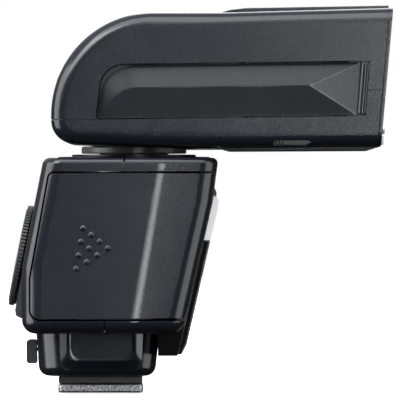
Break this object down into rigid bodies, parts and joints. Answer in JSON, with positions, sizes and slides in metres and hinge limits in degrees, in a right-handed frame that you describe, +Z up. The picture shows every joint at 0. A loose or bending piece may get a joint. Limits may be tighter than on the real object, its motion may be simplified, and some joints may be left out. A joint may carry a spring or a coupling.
{
  "type": "speedlight flash",
  "caption": "Compact hot-shoe camera flash with a tilting, swivelling zoom head, rear control dials, side battery door and locking foot.",
  "frame": {"origin": "centre of the hot-shoe foot's bottom face, on the centre contact", "axes": "+Z up, the flash fires towards -Y, +X across the width towards the flash's left side as it faces forward"},
  "size_m": [0.061, 0.0844, 0.085],
  "materials": {
    "shell_plastic": "fine textured charcoal plastic",
    "dark_plastic": "near-black satin plastic",
    "black_plastic": "black plastic",
    "gloss_black": "polished black window",
    "clear_plastic": "clear moulded plastic",
    "white_card": "white plastic card",
    "steel": "brushed steel",
    "brass": "gold-plated contact",
    "circuit_board": "green circuit board",
    "cell_sleeve": "printed battery sleeve with no marks",
    "capacitor_sleeve": "shrink sleeve",
    "mirror_metal": "polished reflector",
    "tube_glass": "clear glass"
  },
  "bodies": {
    "base": {"foot_plate": "steel", "foot_insert": "black_plastic", "center_contact": "brass", "data_contact_1": "brass", "data_contact_2": "brass", "data_contact_3": "brass", "foot_stem": "black_plastic", "foot_pedestal": "shell_plastic", "front_shell": "shell_plastic", "rear_shell": "shell_plastic", "sensor_window": "gloss_black", "video_light_lens": "clear_plastic", "front_bezel": "dark_plastic", "light_board": "circuit_board", "rear_panel": "dark_plastic", "control_board": "circuit_board", "battery_cage": "black_plastic", "battery_1": "cell_sleeve", "battery_2": "cell_sleeve", "battery_3": "cell_sleeve", "battery_4": "cell_sleeve", "terminal_plate": "steel", "main_board": "circuit_board", "swivel_ring": "black_plastic"},
    "swivel": {"turntable": "black_plastic", "swivel_retainer": "steel", "tilt_bracket": "dark_plastic", "tilt_axle": "steel"},
    "head": {"head_upper_shell": "shell_plastic", "head_lower_shell": "shell_plastic", "side_panel_left": "shell_plastic", "side_panel_right": "shell_plastic", "clip_bar_left": "shell_plastic", "clip_bar_right": "shell_plastic", "top_cover": "shell_plastic", "underside_cover": "shell_plastic", "lens_bezel": "shell_plastic", "fresnel_lens": "clear_plastic", "panel_tray": "black_plastic", "head_board": "circuit_board", "main_capacitor": "capacitor_sleeve", "zoom_motor": "steel", "guide_rod_left": "steel", "guide_rod_right": "steel"},
    "zoom_carriage": {"zoom_carriage": "black_plastic", "reflector": "mirror_metal", "flash_tube": "tube_glass"},
    "lead_screw": {"lead_screw": "steel"},
    "wide_panel": {"wide_panel": "clear_plastic"},
    "bounce_card": {"bounce_card": "white_card"},
    "mode_dial": {"mode_dial": "dark_plastic"},
    "level_dial": {"level_dial": "dark_plastic"},
    "test_button": {"test_button": "shell_plastic"},
    "light_button": {"light_button": "shell_plastic"},
    "power_switch": {"power_switch": "shell_plastic"},
    "lock_slider": {"lock_slider": "dark_plastic"},
    "lock_pin": {"lock_pin": "steel"},
    "door_carrier": {"door_hinge_wire": "steel"},
    "battery_door": {"battery_door": "shell_plastic", "door_contact": "steel"}
  },
  "joints": [
    {"name": "swivel", "type": "hinge", "parent": "base", "child": "swivel", "pos_m": [0, -0.0073, 0.0525], "axis": [0, 0, 1], "range_deg": [-180, 180]},
    {"name": "head_tilt", "type": "hinge", "parent": "swivel", "child": "head", "pos_m": [0, 0.001, 0.066], "axis": [-1, 0, 0], "range_deg": [0, 90]},
    {"name": "zoom", "type": "slide", "parent": "head", "child": "zoom_carriage", "axis": [0, -1, 0], "range_m": [0, 0.01]},
    {"name": "lead_screw_spin", "type": "hinge", "parent": "head", "child": "lead_screw", "pos_m": [0.024, -0.03, 0.0755], "axis": [0, -1, 0], "range_deg": [0, 2400]},
    {"name": "wide_panel_slide", "type": "slide", "parent": "head", "child": "wide_panel", "axis": [0, -1, 0], "range_m": [0, 0.036]},
    {"name": "bounce_card_slide", "type": "slide", "parent": "head", "child": "bounce_card", "axis": [0, -1, 0], "range_m": [0, 0.036]},
    {"name": "mode_dial_turn", "type": "hinge", "parent": "base", "child": "mode_dial", "pos_m": [-0.0126, 0.01657, 0.03006], "axis": [0, 0.9808, 0.1953], "range_deg": [-150, 150]},
    {"name": "level_dial_turn", "type": "hinge", "parent": "base", "child": "level_dial", "pos_m": [0.0126, 0.01657, 0.03006], "axis": [0, 0.9808, 0.1953], "range_deg": [-140, 140]},
    {"name": "test_button_press", "type": "slide", "parent": "base", "child": "test_button", "axis": [0, -0.9808, -0.1953], "range_m": [0, 0.0006], "stiffness_N_per_m": 500},
    {"name": "light_button_press", "type": "slide", "parent": "base", "child": "light_button", "axis": [0, -0.9808, -0.1953], "range_m": [0, 0.0006], "stiffness_N_per_m": 500},
    {"name": "power_switch_slide", "type": "slide", "parent": "base", "child": "power_switch", "axis": [1, 0, 0], "range_m": [0, 0.004]},
    {"name": "lock_slide", "type": "slide", "parent": "base", "child": "lock_slider", "axis": [1, 0, 0], "range_m": [0, 0.004]},
    {"name": "lock_pin_drop", "type": "slide", "parent": "base", "child": "lock_pin", "axis": [0, 0, -1], "range_m": [0, 0.0012]},
    {"name": "door_slide", "type": "slide", "parent": "base", "child": "door_carrier", "axis": [0, -1, 0], "range_m": [0, 0.0025]},
    {"name": "door_swing", "type": "hinge", "parent": "door_carrier", "child": "battery_door", "pos_m": [-0.0249, -0.01697, 0.0163], "axis": [0, -0.2032, 0.9791], "range_deg": [0, 100]}
  ],
  "couplings": [
    {"joint": "lead_screw_spin", "follows": "zoom", "rad_per_m": 4188.8},
    {"joint": "lock_pin_drop", "follows": "lock_slide", "ratio": 0.3}
  ]
}
